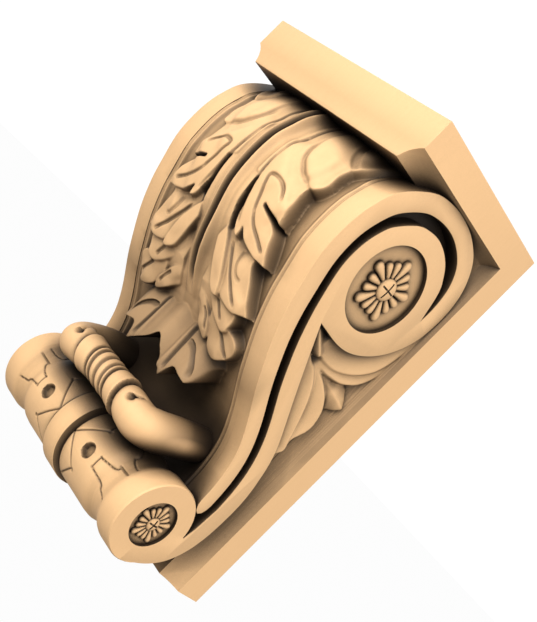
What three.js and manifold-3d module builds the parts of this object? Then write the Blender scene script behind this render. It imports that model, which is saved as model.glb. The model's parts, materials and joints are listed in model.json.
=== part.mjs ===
// Leaf corbel: one block of wood, carved as a scrolled bracket with an acanthus leaf down its front.
// Millimetres, +Z up. The origin is the middle of the flat back, which lies against the wall at y = 0.
// The front faces -Y, and the work is the same left and right of x = 0.
import * as THREE from "three";
import { mergeVertices } from "three/addons/utils/BufferGeometryUtils.js";
import Module from "manifold-3d";

const wasm = await Module();
wasm.setup();

// Driving dimensions
const HEIGHT = 330;
const WIDTH = 191;
const PROJECTION = 156.4;

// Cap and back plate
const CAP_FILLET = 22.9;
const PLATE_STRIP = 22.5;
const COVE_DROP = 13.3;
const COVE_INSET = 11.9;
const COVE_HOLLOW = 1.9;
const COVE_STEPS = 4;

// Scroll sides
const SCROLL_INSET = 2.3;
const SIDE_RELIEF = 12;
const BAND_WIDTH = 13.2;
const GROOVE_WIDTH = 7.4;
const RIM_WIDTH = 18;
const FIELD_DROP = 1.6;

// Rosettes in the ends of the two scrolls
const VOLUTE_RECESS_RADIUS = 32;
const ROLL_RECESS_RADIUS = 17.3;
const RECESS_DEPTH = 5.5;
const ROSETTE_CLEARANCE = 1.8;
const PETALS = 15;
const LONG_PETAL_EVERY = 3;
const SHORT_PETAL_SHARE = 0.86;

// Foot roll
const ROLL_RADIUS = 31;
const ROLL_WAIST_RADIUS = 27.5;
const ROLL_FLANGE_WIDTH = 17;
const ROLL_WAIST_WIDTH = 10;
const BELT_RADIUS = 34.2;
const BELT_WIDTH = 19;
const BELT_GROOVE_DEPTH = 3;
const BELT_GROOVE_WIDTH = 2.4;

// Banded yoke between the leaf's tip and the foot roll
const YOKE_RADIUS = 14.4;
const YOKE_RING_WIDTH = 2.8;
const YOKE_BAND_WIDTH = 9;
const YOKE_GROOVE_DEPTH = 1.9;
const YOKE_RINGS = 5;

// Leaf
const LEAF_LIFT = 10;
const LEAF_ROOT_DEPTH = 6;
const STEM_WIDTH = 9;

const halfHeight = HEIGHT / 2;
const halfWidth = WIDTH / 2;
const scrollSide = halfWidth - SCROLL_INSET;
const panelSide = scrollSide - SIDE_RELIEF;
const fieldSide = scrollSide - RIM_WIDTH;

// Outlines of the scroll seen from the side: shares of the projection out from the wall,
// and shares of the height up from the foot.
const FRONT_LINE = [
  [0.173, 0.72], [0.164, 0.757], [0.205, 0.848], [0.297, 0.896], [0.426, 0.92], [0.554, 0.926],
  [0.698, 0.917], [0.831, 0.883], [0.933, 0.835], [0.978, 0.774], [0.986, 0.706], [0.953, 0.627],
  [0.886, 0.544], [0.79, 0.47], [0.693, 0.408], [0.583, 0.349], [0.505, 0.297], [0.464, 0.242],
  [0.447, 0.179]];
const VOLUTE_BACK = [
  [0.173, 0.72], [0.226, 0.662], [0.326, 0.613], [0.469, 0.582], [0.575, 0.5785], [0.693, 0.584]];
const BAND_BACK = [
  [0.693, 0.584], [0.619, 0.534], [0.526, 0.473], [0.419, 0.4055], [0.326, 0.3445], [0.273, 0.284],
  [0.243, 0.218], [0.242, 0.161], [0.263, 0.096], [0.304, 0.054], [0.38, 0.02], [0.43, 0.0085],
  [0.491, -0.004], [0.552, -0.008]];
const LEAF_LINE = [
  [0.695, 0.917], [0.831, 0.883], [0.933, 0.835], [0.978, 0.774], [0.986, 0.706], [0.953, 0.627],
  [0.886, 0.544], [0.79, 0.47], [0.693, 0.408], [0.583, 0.349], [0.505, 0.297], [0.464, 0.242],
  [0.447, 0.179], [0.451, 0.136], [0.47, 0.091]];
const VOLUTE_CENTRE = [0.558, 0.72];
const ROLL_CENTRE = [0.552, 0.086];

function place([out, up]) {
  return new THREE.Vector2(-out * PROJECTION, (up - 0.5) * HEIGHT);
}

function curveThrough(shares) {
  return new THREE.SplineCurve(shares.map(place));
}

// A line moved sideways by a distance that may change along it, towards the left of its direction
function offsetLine(line, distance) {
  return line.map((point, i) => {
    const before = line[Math.max(i - 1, 0)];
    const after = line[Math.min(i + 1, line.length - 1)];
    const along = after.clone().sub(before).normalize();
    const d = distance(i / (line.length - 1));
    return new THREE.Vector2(point.x - along.y * d, point.y + along.x * d);
  });
}

// A solid from a closed three.js geometry, whose corners closer than the tolerance become one
function solid(geometry, tolerance = 1e-4) {
  const plain = geometry.index ? geometry : geometry.clone();
  plain.deleteAttribute("normal");
  plain.deleteAttribute("uv");
  const merged = mergeVertices(plain, tolerance);
  const mesh = new wasm.Mesh({
    numProp: 3,
    vertProperties: new Float32Array(merged.attributes.position.array),
    triVerts: new Uint32Array(merged.index.array),
  });
  return new wasm.Manifold(mesh);
}

function join(solids) {
  return solids.reduce((whole, piece) => whole.add(piece));
}

// A plate whose outline is drawn in (y, z), running across the block from x0 to x1
function acrossPlate(outline, x0, x1) {
  const shape = new THREE.Shape(outline);
  const plate = new THREE.ExtrudeGeometry(shape, { depth: x1 - x0, bevelEnabled: false });
  const turn = new THREE.Matrix4().makeBasis(
    new THREE.Vector3(0, 1, 0), new THREE.Vector3(0, 0, 1), new THREE.Vector3(1, 0, 0));
  return solid(plate.applyMatrix4(turn).translate(x0, 0, 0));
}

// The same plate on both sides of the block
function bothSides(outline, inner, outer) {
  return join([acrossPlate(outline, inner, outer), acrossPlate(outline, -outer, -inner)]);
}

// A closed body through rings of points, each ring with as many points
function loft(rings) {
  const size = rings[0].length;
  const points = rings.flat();
  const faces = [];
  for (let i = 0; i < rings.length - 1; i += 1) {
    for (let j = 0; j < size; j += 1) {
      const a = i * size + j;
      const b = i * size + (j + 1) % size;
      faces.push(a, b, a + size, b, b + size, a + size);
    }
  }
  for (const [ring, first] of [[rings[0], 0], [rings.at(-1), (rings.length - 1) * size]]) {
    const middle = ring.reduce((sum, p) => sum.add(p), new THREE.Vector3()).divideScalar(size);
    points.push(middle);
    for (let j = 0; j < size; j += 1) {
      const pair = [first + j, first + (j + 1) % size];
      if (first === 0) pair.reverse();
      faces.push(points.length - 1, ...pair);
    }
  }
  const geometry = new THREE.BufferGeometry().setFromPoints(points);
  geometry.setIndex(faces);
  const body = solid(geometry);
  return body.volume() > 0 ? body : solid(geometry.setIndex(faces.reverse()));
}

function mirrored(piece) {
  return join([piece, piece.mirror([1, 0, 0])]);
}

// Cove that leaves the fillet's edge and falls, slightly hollow, to the underside
function coveLine() {
  const end = new THREE.Vector2(-COVE_INSET, -COVE_DROP);
  const inward = new THREE.Vector2(-end.y, end.x).normalize().negate();
  return Array.from({ length: COVE_STEPS + 1 }, (_, i) => {
    const t = i / COVE_STEPS;
    const bow = 4 * t * (1 - t) * COVE_HOLLOW;
    return new THREE.Vector2(end.x * t + inward.x * bow, end.y * t + inward.y * bow);
  });
}

function makeCap() {
  const right = coveLine().map((p) => new THREE.Vector2(halfWidth + p.x, halfHeight - CAP_FILLET + p.y));
  const left = right.map((p) => new THREE.Vector2(-p.x, p.y));
  const outline = [new THREE.Vector2(-halfWidth, halfHeight), ...left, ...right.reverse(),
    new THREE.Vector2(halfWidth, halfHeight)];
  const cap = new THREE.ExtrudeGeometry(new THREE.Shape(outline), { depth: PROJECTION, bevelEnabled: false });
  return solid(cap.rotateX(Math.PI / 2));
}

function makeBackPlate() {
  const right = coveLine().map((p) => new THREE.Vector2(halfWidth + p.x, -PLATE_STRIP + p.y));
  const left = right.map((p) => new THREE.Vector2(-p.x, p.y));
  const outline = [new THREE.Vector2(halfWidth, 0), ...right, ...left.reverse(),
    new THREE.Vector2(-halfWidth, 0)];
  const plate = new THREE.ExtrudeGeometry(new THREE.Shape(outline), { depth: HEIGHT, bevelEnabled: false });
  return solid(plate.translate(0, 0, -halfHeight));
}

// Scroll body: a core as wide as the sunk side panels, and raised bands on both sides
const FRONT_STEPS = 32;
const BACK_STEPS = 10;
const TIP_STEPS = 5;
const TIP_DROP_SHARE = 0.62;
const BAND_ROOT = 1;
// The groove opens within this share of the front line, from a start that lies inside the band
const GROOVE_RUN_IN = 0.09;
const GROOVE_START = 0.1;

function makeScroll() {
  const front = curveThrough(FRONT_LINE).getSpacedPoints(FRONT_STEPS);
  const voluteBack = curveThrough(VOLUTE_BACK).getSpacedPoints(BACK_STEPS);
  const bandBack = curveThrough(BAND_BACK).getSpacedPoints(BACK_STEPS);
  const roll = place(ROLL_CENTRE);
  const foot = new THREE.Vector2(roll.x + ROLL_RADIUS * 0.5, roll.y);
  const heel = new THREE.Vector2(-PLATE_STRIP, roll.y);
  const head = new THREE.Vector2(-PLATE_STRIP, halfHeight - CAP_FILLET / 2);
  const crown = front.reduce((top, p, i) => (p.y > front[top].y ? i : top), 0);
  const upperFront = front.slice(crown);
  const core = acrossPlate([...upperFront, foot, heel, head], -panelSide, panelSide);
  const sunkFront = offsetLine(upperFront, () => FIELD_DROP);
  const lowered = [...offsetLine(upperFront, () => -FIELD_DROP), ...sunkFront.reverse()];
  const field = acrossPlate(lowered, -fieldSide, fieldSide);
  const grooveOuter = offsetLine(front, () => BAND_WIDTH);
  const grooveShare = (t) => Math.min(1, t / GROOVE_RUN_IN - GROOVE_START);
  const grooveInner = offsetLine(front, (t) => BAND_WIDTH + GROOVE_WIDTH * grooveShare(t));
  const tip = grooveOuter.at(-1).clone().sub(front.at(-1));
  const tipMiddle = front.at(-1).clone().addScaledVector(tip, 0.5);
  const roundTip = Array.from({ length: TIP_STEPS }, (_, i) => {
    const angle = Math.PI * (i + 1) / (TIP_STEPS + 1);
    const across = Math.cos(angle) * BAND_WIDTH / 2;
    const down = Math.sin(angle) * BAND_WIDTH * TIP_DROP_SHARE;
    return new THREE.Vector2(tipMiddle.x - across, tipMiddle.y - down);
  });
  const band = [...front, ...roundTip, ...grooveOuter.slice().reverse()];
  const seat = offsetLine(front, () => BAND_WIDTH / 2)[1];
  const inner = [...grooveInner, foot, ...bandBack.slice().reverse(), ...voluteBack.slice().reverse(), seat];
  const root = panelSide - BAND_ROOT;
  const raised = join([bothSides(band, root, scrollSide), bothSides(inner, root, scrollSide)]);
  return core.subtract(field).add(raised);
}

// Turned roll at the foot, across the whole width, with two flanges and a belt
const ROLL_SEGMENTS = 24;
const ROLL_EDGE = 0.8;
const ROLL_SHOULDER = 4;
const ROLL_SWELL = 18;

function makeRoll() {
  const waist = scrollSide - ROLL_FLANGE_WIDTH;
  const body = waist - ROLL_WAIST_WIDTH;
  const beltEdge = BELT_WIDTH / 2;
  const grooveFloor = ROLL_RADIUS - BELT_GROOVE_DEPTH;
  const grooveEdge = beltEdge + BELT_GROOVE_WIDTH;
  const half = [
    [0, scrollSide], [ROLL_RADIUS - ROLL_EDGE, scrollSide], [ROLL_RADIUS, scrollSide - ROLL_EDGE],
    [ROLL_RADIUS - ROLL_EDGE / 2, waist + ROLL_SHOULDER], [(ROLL_RADIUS + ROLL_WAIST_RADIUS) / 2, waist],
    [ROLL_WAIST_RADIUS, waist - ROLL_SHOULDER * 0.75], [ROLL_WAIST_RADIUS, body + ROLL_EDGE],
    [ROLL_RADIUS - ROLL_EDGE * 2, body - ROLL_SHOULDER], [ROLL_RADIUS, body - ROLL_SWELL],
    [ROLL_RADIUS, grooveEdge + ROLL_EDGE], [grooveFloor, grooveEdge], [grooveFloor, beltEdge],
    [BELT_RADIUS - ROLL_EDGE, beltEdge], [BELT_RADIUS, beltEdge - ROLL_EDGE * 2]];
  const other = half.slice().reverse().map(([r, x]) => [r, -x]);
  const profile = [...half, ...other].map(([r, x]) => new THREE.Vector2(r, x));
  const roll = new THREE.LatheGeometry(profile.reverse(), ROLL_SEGMENTS);
  const centre = place(ROLL_CENTRE);
  return solid(roll.rotateZ(-Math.PI / 2).translate(0, centre.x, centre.y));
}

// Recess with a many-petalled flower in the end of a scroll; the small flower's petals are simple lozenges
const RECESS_SIDES = 28;
const ROUND_PETAL_LENGTH = 20;
const PETAL_LENGTH_SHARE = 0.76;
const BUTTON_SHARE = 0.27;

function makeRosette(centre, recessRadius) {
  const floor = scrollSide - RECESS_DEPTH;
  const reach = recessRadius - ROSETTE_CLEARANCE;
  const long = reach * PETAL_LENGTH_SHARE;
  const button = reach * BUTTON_SHARE;
  const recess = new THREE.CylinderGeometry(recessRadius, recessRadius, RECESS_DEPTH + 1, RECESS_SIDES);
  recess.rotateZ(Math.PI / 2).translate(floor + (RECESS_DEPTH + 1) / 2, centre.x, centre.y);
  const flower = [];
  const dome = new THREE.SphereGeometry(1, 10, 6).scale(RECESS_DEPTH * 0.6, button, button);
  flower.push(solid(dome.translate(floor, centre.x, centre.y)));
  for (let k = 0; k < PETALS; k += 1) {
    const length = k % LONG_PETAL_EVERY === 0 ? long : long * SHORT_PETAL_SHARE;
    const inner = button * 0.8;
    const petal = new THREE.OctahedronGeometry(1, long > ROUND_PETAL_LENGTH ? 1 : 0);
    petal.scale(RECESS_DEPTH * 0.5, Math.PI * length * 0.72 / PETALS, (length - inner) / 2);
    petal.translate(0, 0, (length + inner) / 2);
    petal.rotateX(2 * Math.PI * k / PETALS);
    flower.push(solid(petal.translate(floor, centre.x, centre.y)));
  }
  return { recess: solid(recess), flower: join(flower) };
}

// Half flower in the sunk panel behind the scroll: shares of the scroll body's own frame
const KNOT = [0.545, 0.526];
const SPANDREL_PETALS = [
  { to: [0.205, 0.64], bulge: -0.075, rise: 0.62 },
  { to: [0.165, 0.62], bulge: -0.1, rise: 0.4 },
  { to: [0.29, 0.405], bulge: 0.085, rise: 0.4 },
  { to: [0.33, 0.4], bulge: 0.05, rise: 0.62 },
  { to: [0.17, 0.5], bulge: 0, rise: 0.5 },
  { to: [0.655, 0.568], bulge: 0, rise: 0.4 }];
const PETAL_STEPS = 5;
const PETAL_ROOT = 4;
const PETAL_RIDGE = 1.6;
const PETAL_POINT = 0.4;
const SLIM_STRAIGHT = 0.2;
const SLIM_CURVED = 0.17;

function makeSpandrel() {
  const knot = place(KNOT);
  const petals = SPANDREL_PETALS.map(({ to, bulge, rise }) => {
    const end = place(to);
    const along = end.clone().sub(knot);
    const length = along.length();
    along.normalize();
    const side = new THREE.Vector2(-along.y, along.x);
    const slim = bulge === 0 ? SLIM_STRAIGHT : SLIM_CURVED;
    const rings = Array.from({ length: PETAL_STEPS + 1 }, (_, i) => {
      const t = i / PETAL_STEPS;
      const curve = 4 * t * (1 - t) * bulge * HEIGHT;
      const half = PETAL_POINT + length * slim * Math.sin(Math.PI * Math.min(1, t * 0.94 + 0.03));
      const middle = knot.clone().addScaledVector(along, length * t).addScaledVector(side, curve);
      const low = panelSide - PETAL_ROOT;
      const top = panelSide + SIDE_RELIEF * rise * (0.35 + 0.65 * Math.sin(Math.PI * Math.min(1, t + 0.1)));
      const point = (shift, x) => new THREE.Vector3(
        x, middle.x + side.x * shift * half, middle.y + side.y * shift * half);
      const edge = top - PETAL_RIDGE;
      return [point(-1, low), point(-1, edge), point(0, top), point(1, edge), point(1, low)];
    });
    return loft(rings);
  });
  return mirrored(join(petals));
}

// Leaf: places on the front are given across the block in shares of the scroll's half width,
// down the front in shares of its line, and out from it in shares of the leaf's lift.
const leafCurve = curveThrough(LEAF_LINE);

function onFront(across, down, lift) {
  const t = THREE.MathUtils.clamp(down, 0, 1);
  const point = leafCurve.getPointAt(t);
  const along = leafCurve.getTangentAt(t);
  const out = lift * LEAF_LIFT;
  return new THREE.Vector3(across * scrollSide, point.x + along.y * out, point.y - along.x * out);
}

const LOBES = [
  { root: [0.47, 0], bend: [0.5, 0.15], tip: [0.6, 0.245], width: 0.2, lift: [0.9, 0.62], blunt: 0.9 },
  { root: [0.3, 0.17], bend: [0.5, 0.22], tip: [0.595, 0.342], width: 0.16, lift: [1.2, 0.7], blunt: 0.6 },
  { root: [0.24, 0.26], bend: [0.44, 0.335], tip: [0.69, 0.42], width: 0.12, lift: [1.15, 0.8], blunt: 0.5 },
  { root: [0.2, 0.28], bend: [0.27, 0.35], tip: [0.34, 0.405], width: 0.075, lift: [1.25, 1.15], blunt: 0.3 },
  { root: [0.22, 0.365], bend: [0.46, 0.42], tip: [0.74, 0.52], width: 0.13, lift: [0.85, 0.75], blunt: 0.6 },
  { root: [0.16, 0.38], bend: [0.28, 0.46], tip: [0.41, 0.527], width: 0.08, lift: [1.12, 1.05], blunt: 0.5 },
  { root: [0.16, 0.45], bend: [0.36, 0.53], tip: [0.6, 0.568], width: 0.11, lift: [0.82, 0.7], blunt: 0.6 },
  { root: [0.27, 0.52], bend: [0.5, 0.58], tip: [0.73, 0.608], width: 0.13, lift: [0.66, 0.5], blunt: 0.8 },
  { root: [0.14, 0.53], bend: [0.28, 0.56], tip: [0.395, 0.625], width: 0.07, lift: [0.8, 0.85], blunt: 0.6 },
  { root: [0.25, 0.57], bend: [0.52, 0.645], tip: [0.48, 0.71], width: 0.17, lift: [0.55, 2.5], blunt: 0.5 },
  { root: [0.13, 0.58], bend: [0.22, 0.665], tip: [0.265, 0.732], width: 0.13, lift: [0.5, 3.1], blunt: 0.5 },
];
const LOBE_STEPS = 6;
const TIP_LIFT_START = 0.35;
const LOBE_CROWN = 0.3;
const LOBE_TIP_HALF_WIDTH = 1.2;

function makeLobe({ root, bend, tip, width, lift, blunt }) {
  const rings = Array.from({ length: LOBE_STEPS + 1 }, (_, i) => {
    const t = i / LOBE_STEPS;
    const spot = (k) => root[k] * (1 - t) ** 2 + bend[k] * 2 * t * (1 - t) + tip[k] * t ** 2;
    const slope = (k) => 2 * (1 - t) * (bend[k] - root[k]) + 2 * t * (tip[k] - bend[k]);
    const frontLength = leafCurve.getLength();
    const run = new THREE.Vector2(slope(0) * scrollSide, slope(1) * frontLength).normalize();
    const swell = Math.sin(Math.PI * (0.25 + 0.75 * t)) ** (1 - 0.6 * blunt);
    const half = Math.max(width * scrollSide * swell, LOBE_TIP_HALF_WIDTH);
    const climb = THREE.MathUtils.smoothstep(t, TIP_LIFT_START, 1);
    const top = lift[0] + (lift[1] - lift[0]) * (lift[1] > 1.5 ? climb : t);
    const at = (shift, height) => onFront(
      spot(0) + run.y * shift * half / scrollSide, spot(1) - run.x * shift * half / frontLength, height);
    const low = -LEAF_ROOT_DEPTH / LEAF_LIFT;
    const edge = top - LOBE_CROWN;
    return [at(-1, low), at(-1, edge), at(-0.4, top), at(0.4, top), at(1, edge), at(1, low)];
  });
  return loft(rings);
}

// The leaf's broad body between the lobes: down the front, half width, lift
const LEAF_BODY = [
  [0, 0.35, 0.4], [0.08, 0.35, 0.5], [0.12, 0.355, 0.55], [0.16, 0.36, 0.6], [0.24, 0.34, 0.8],
  [0.32, 0.36, 0.75], [0.39, 0.3, 0.65],
  [0.47, 0.26, 0.5], [0.53, 0.3, 0.35], [0.58, 0.4, 0.2], [0.63, 0.4, 0.5], [0.68, 0.3, 1.7]];
// Each of the stem's two ribs: down the front, lift of its crest
const STEM_RIB = [
  [0.08, 1.1], [0.16, 1.4], [0.22, 1.6], [0.3, 1.45], [0.35, 1.3], [0.47, 1.02], [0.55, 0.62]];

function makeLeaf() {
  const lobes = LOBES.map(makeLobe);
  const body = loft(LEAF_BODY.map(([down, half, lift]) => {
    const low = -LEAF_ROOT_DEPTH / LEAF_LIFT;
    return [onFront(-half, down, low), onFront(-half, down, lift), onFront(0, down, lift * 0.92),
      onFront(half, down, lift), onFront(half, down, low)];
  }));
  const rib = loft(STEM_RIB.map(([down, lift], i) => {
    const half = STEM_WIDTH / 2 / scrollSide * (1 - 0.05 * i);
    const middle = half * 0.98;
    return [onFront(middle - half, down, 0), onFront(middle - half, down, lift - 0.45),
      onFront(middle - half * 0.5, down, lift - 0.1), onFront(middle, down, lift),
      onFront(middle + half * 0.5, down, lift - 0.15), onFront(middle + half, down, lift - 0.55),
      onFront(middle + half, down, 0)];
  }));
  return join([mirrored(join(lobes)), body, mirrored(rib)]);
}

// Yoke: an arm swells out of the field on each side, and a ringed bar joins them in front
const YOKE_BAR = [0.762, 0.215];
// Each arm, from the field to the bar: across, out, up, share of the yoke's radius
const YOKE_ARM = [
  [0.72, 0.42, 0.25, 1.3], [0.74, 0.55, 0.24, 1.22], [0.68, 0.69, 0.221, 1.1], [0.57, 0.745, 0.215, 1.03],
  [0.45, 0.762, 0.215, 1]];
const YOKE_SIDES = 9;
const YOKE_END = 3;
const YOKE_LAP = 2;
const YOKE_CREST_DROP = 0.6;

function makeArm(innerEnd, bar) {
  const path = YOKE_ARM.map(([across, out, up]) => {
    const p = place([out, up]);
    return new THREE.Vector3(across * scrollSide, p.x, p.y);
  });
  const curve = new THREE.CatmullRomCurve3([...path, new THREE.Vector3(innerEnd, bar.x, bar.y)]);
  const shares = [...YOKE_ARM.map((station) => station[3]), 1];
  const sizes = new THREE.SplineCurve(shares.map((size, i) => new THREE.Vector2(i, size)));
  const steps = YOKE_ARM.length * 2;
  return loft(Array.from({ length: steps + 1 }, (_, i) => {
    const t = i / steps;
    const centre = curve.getPoint(t);
    const along = curve.getTangent(t);
    const radius = (YOKE_RADIUS - YOKE_CREST_DROP) * sizes.getPoint(t).y;
    const side = new THREE.Vector3(0, 0, 1).cross(along).normalize();
    const up = along.clone().cross(side).normalize();
    return Array.from({ length: YOKE_SIDES }, (__, j) => {
      const angle = 2 * Math.PI * j / YOKE_SIDES;
      return centre.clone().addScaledVector(side, Math.cos(angle) * radius)
        .addScaledVector(up, Math.sin(angle) * radius);
    });
  }));
}

function makeYoke() {
  const bar = place(YOKE_BAR);
  const ringed = YOKE_RINGS * YOKE_RING_WIDTH / 2;
  const end = ringed + YOKE_BAND_WIDTH + YOKE_END;
  const inside = YOKE_RADIUS - YOKE_GROOVE_DEPTH;
  const crest = YOKE_RADIUS - YOKE_CREST_DROP;
  const half = [
    [0, end], [inside, end - YOKE_END / 3], [YOKE_RADIUS, ringed + YOKE_BAND_WIDTH],
    [YOKE_RADIUS, ringed + YOKE_END / 3], [inside, ringed]];
  for (let k = (YOKE_RINGS - 1) / 2; k > 0; k -= 1) {
    half.push([crest, k * YOKE_RING_WIDTH], [inside, (k - 0.5) * YOKE_RING_WIDTH]);
  }
  const other = half.slice().reverse().map(([r, x]) => [r, -x]);
  const profile = [...half, [crest, 0], ...other].map(([r, x]) => new THREE.Vector2(r, x));
  const lathe = new THREE.LatheGeometry(profile.reverse(), YOKE_SIDES * 2);
  const rings = solid(lathe.rotateZ(-Math.PI / 2).translate(0, bar.x, bar.y));
  return join([mirrored(makeArm(end - YOKE_LAP, bar)), rings]);
}

// Joining curved skins leaves empty slivers, smaller than this in cubic millimetres,
// and corners closer together than this in millimetres
const SLIVER_VOLUME = 1;
const CORNER_TOLERANCE = 1e-2;

function withoutSlivers(body) {
  return join(body.decompose().filter((shell) => Math.abs(shell.volume()) > SLIVER_VOLUME));
}

function asGeometry(body) {
  const { vertProperties, triVerts } = body.getMesh();
  const geometry = new THREE.BufferGeometry();
  geometry.setAttribute("position", new THREE.BufferAttribute(vertProperties, 3));
  return geometry.setIndex(new THREE.BufferAttribute(triVerts, 1));
}

function makeCorbel() {
  const plates = [makeBackPlate(), makeCap()];
  let body = join([...plates, makeScroll(), makeRoll(), makeLeaf(), makeYoke(), makeSpandrel()]);
  for (const [centre, radius] of [[VOLUTE_CENTRE, VOLUTE_RECESS_RADIUS], [ROLL_CENTRE, ROLL_RECESS_RADIUS]]) {
    const { recess, flower } = makeRosette(place(centre), radius);
    body = body.subtract(mirrored(recess)).add(mirrored(flower));
  }
  const whole = withoutSlivers(solid(asGeometry(withoutSlivers(body)), CORNER_TOLERANCE));
  const geometry = asGeometry(whole);
  geometry.computeVertexNormals();
  return geometry;
}

const carvedWood = new THREE.MeshStandardMaterial({ color: 0xe6b888, roughness: 0.62, metalness: 0 });
const corbel = new THREE.Mesh(makeCorbel(), carvedWood);
corbel.name = "leaf_corbel";

const model = new THREE.Group();
model.add(corbel);

export default model;
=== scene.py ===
# Leaf corbel of pale carved wood: one block, finished with the carver's fine relief.
# Blender 4.5, metres, +Z up. The back lies against the wall at y = 0 and the leaf faces -Y.
import json
import math

import bpy
import numpy as np
from mathutils import Matrix, Vector


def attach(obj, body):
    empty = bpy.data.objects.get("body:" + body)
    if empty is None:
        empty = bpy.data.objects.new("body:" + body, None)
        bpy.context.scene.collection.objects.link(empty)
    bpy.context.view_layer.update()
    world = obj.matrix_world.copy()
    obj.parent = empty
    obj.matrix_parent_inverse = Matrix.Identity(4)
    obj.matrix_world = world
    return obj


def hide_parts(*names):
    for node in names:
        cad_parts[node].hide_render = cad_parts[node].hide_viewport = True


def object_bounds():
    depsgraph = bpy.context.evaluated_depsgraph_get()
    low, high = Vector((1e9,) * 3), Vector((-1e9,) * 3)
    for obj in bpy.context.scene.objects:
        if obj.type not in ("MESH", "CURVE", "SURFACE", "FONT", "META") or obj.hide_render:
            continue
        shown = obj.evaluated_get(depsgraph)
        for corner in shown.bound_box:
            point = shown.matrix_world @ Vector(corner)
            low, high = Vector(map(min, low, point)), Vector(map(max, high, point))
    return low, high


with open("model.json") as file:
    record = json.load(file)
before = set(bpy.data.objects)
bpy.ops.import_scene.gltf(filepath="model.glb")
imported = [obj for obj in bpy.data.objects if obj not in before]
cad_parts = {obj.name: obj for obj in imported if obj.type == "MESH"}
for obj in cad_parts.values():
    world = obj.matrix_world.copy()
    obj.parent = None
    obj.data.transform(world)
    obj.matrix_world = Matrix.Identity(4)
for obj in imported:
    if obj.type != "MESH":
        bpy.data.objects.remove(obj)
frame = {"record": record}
cad_low, cad_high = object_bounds()

# Cap: the square block at the corbel's head, which carries the shelf. It is solid wood with crisp
# edges, and a cove is run under its two sides. Lengths are in millimetres of a corbel 330 mm high.
HALF_HEIGHT = 165.0
MM = cad_high.z / HALF_HEIGHT
HALF_WIDTH = cad_high.x / MM
mounts = {mount["name"]: mount for mount in frame["record"]["mounts"]}
PROJECTION = -2 * mounts["shelf_seat"]["pos_m"][1] / MM
CAP_FILLET = 22.9
COVE_DROP = 13.3
COVE_INSET = 11.9
COVE_HOLLOW = 1.9
COVE_STEPS = 10
CRISP_EDGE = 0.5
carved = []


def deselect():
    if bpy.context.mode != "OBJECT":
        bpy.ops.object.mode_set(mode="OBJECT")
    bpy.ops.object.select_all(action="DESELECT")


def plate(name, outline, axis, start, end, edge=0.0):
    """A flat plate: an outline in the two other axes, extruded along one axis from start to end."""
    deselect()
    bpy.ops.mesh.primitive_circle_add(vertices=len(outline), radius=1, fill_type="NGON")
    piece = bpy.context.object
    piece.name = name
    places = np.insert(np.array(outline, float), axis, start, axis=1) * MM
    piece.data.vertices.foreach_set("co", places.ravel())
    travel = [0.0, 0.0, 0.0]
    travel[axis] = (end - start) * MM
    bpy.ops.object.mode_set(mode="EDIT")
    bpy.ops.mesh.select_all(action="SELECT")
    bpy.ops.mesh.extrude_region_move(TRANSFORM_OT_translate={"value": travel})
    if edge:
        bpy.ops.mesh.bevel(offset=edge * MM, segments=2, affect="EDGES")
    bpy.ops.mesh.select_all(action="SELECT")
    bpy.ops.mesh.normals_make_consistent(inside=False)
    deselect()
    carved.append(piece)
    return piece


def cove():
    """The cove's section, from the edge it leaves to the foot it reaches, as shifts inward and down."""
    t = np.linspace(0, 1, COVE_STEPS + 1)[:, None]
    fall = np.array([[-COVE_INSET, -COVE_DROP]])
    inward = np.array([[-COVE_DROP, COVE_INSET]]) / math.hypot(COVE_DROP, COVE_INSET)
    return fall * t + inward * COVE_HOLLOW * 4 * t * (1 - t)


right_cove = np.array([HALF_WIDTH, HALF_HEIGHT - CAP_FILLET]) + cove()
cap_outline = np.vstack([
    [[-HALF_WIDTH, HALF_HEIGHT]], right_cove * [-1, 1], right_cove[::-1], [[HALF_WIDTH, HALF_HEIGHT]]])
plate("cap", cap_outline, 1, 0.0, -PROJECTION, CRISP_EDGE)

# Back plate: the board behind the scroll, cut from the same block. A cove like the cap's is run
# down both of its front edges.
PLATE_STRIP = 22.5
plate_cove = np.array([HALF_WIDTH, -PLATE_STRIP]) + cove()
plate_outline = np.vstack([
    [[HALF_WIDTH, 0]], plate_cove, plate_cove[::-1] * [-1, 1], [[-HALF_WIDTH, 0]]])
plate("back_plate", plate_outline, 2, -HALF_HEIGHT, HALF_HEIGHT)

# Scroll: the body of the block. Its two sides are carved into sunk panels with a raised band that
# runs from behind the volute over the top and down to the foot, a groove beside it, and a broad
# inner scroll that ends in the roll.
SCROLL_SIDE = HALF_WIDTH - 2.3
PANEL_SIDE = SCROLL_SIDE - 12
RIM_SIDE = 76.2
SEAT = -30.0
VOLUTE_TOP = [
    (-27, 72.6), (-25.6, 84.8), (-25.9, 94.9), (-28.1, 106.1), (-32, 115), (-38.8, 123.9),
    (-46.5, 130.7), (-56.6, 135.4), (-66.6, 138.5), (-76.6, 140), (-86.7, 140.5)]
FRONT = [
    (-96.7, 139.9), (-108.7, 137.6), (-115.3, 135.7), (-124.2, 130.7), (-137.3, 120.6),
    (-145.9, 110.6), (-149.8, 100.5), (-152.9, 90.5), (-154.4, 76.4), (-153.7, 60.3),
    (-151.7, 50.3), (-145.9, 33.5), (-140.9, 20.1), (-130.3, 0), (-116.9, -19), (-108.4, -30.2),
    (-99.1, -40.8), (-91.2, -49.7), (-84.5, -58.5), (-79, -66.9), (-74.5, -77), (-71.6, -88.5),
    (-70.4, -96.9), (-69.9, -106)]
FRONT_END = [(-70.6, -120), (-73.5, -135)]
VOLUTE_BACK = [
    (-27, 72.6), (-29.8, 63.6), (-35.4, 53.6), (-42.1, 45.2), (-51, 37.4), (-62.2, 30.8),
    (-73.3, 27.1), (-85.6, 26), (-96.8, 26.8), (-108.4, 27.7)]
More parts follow.
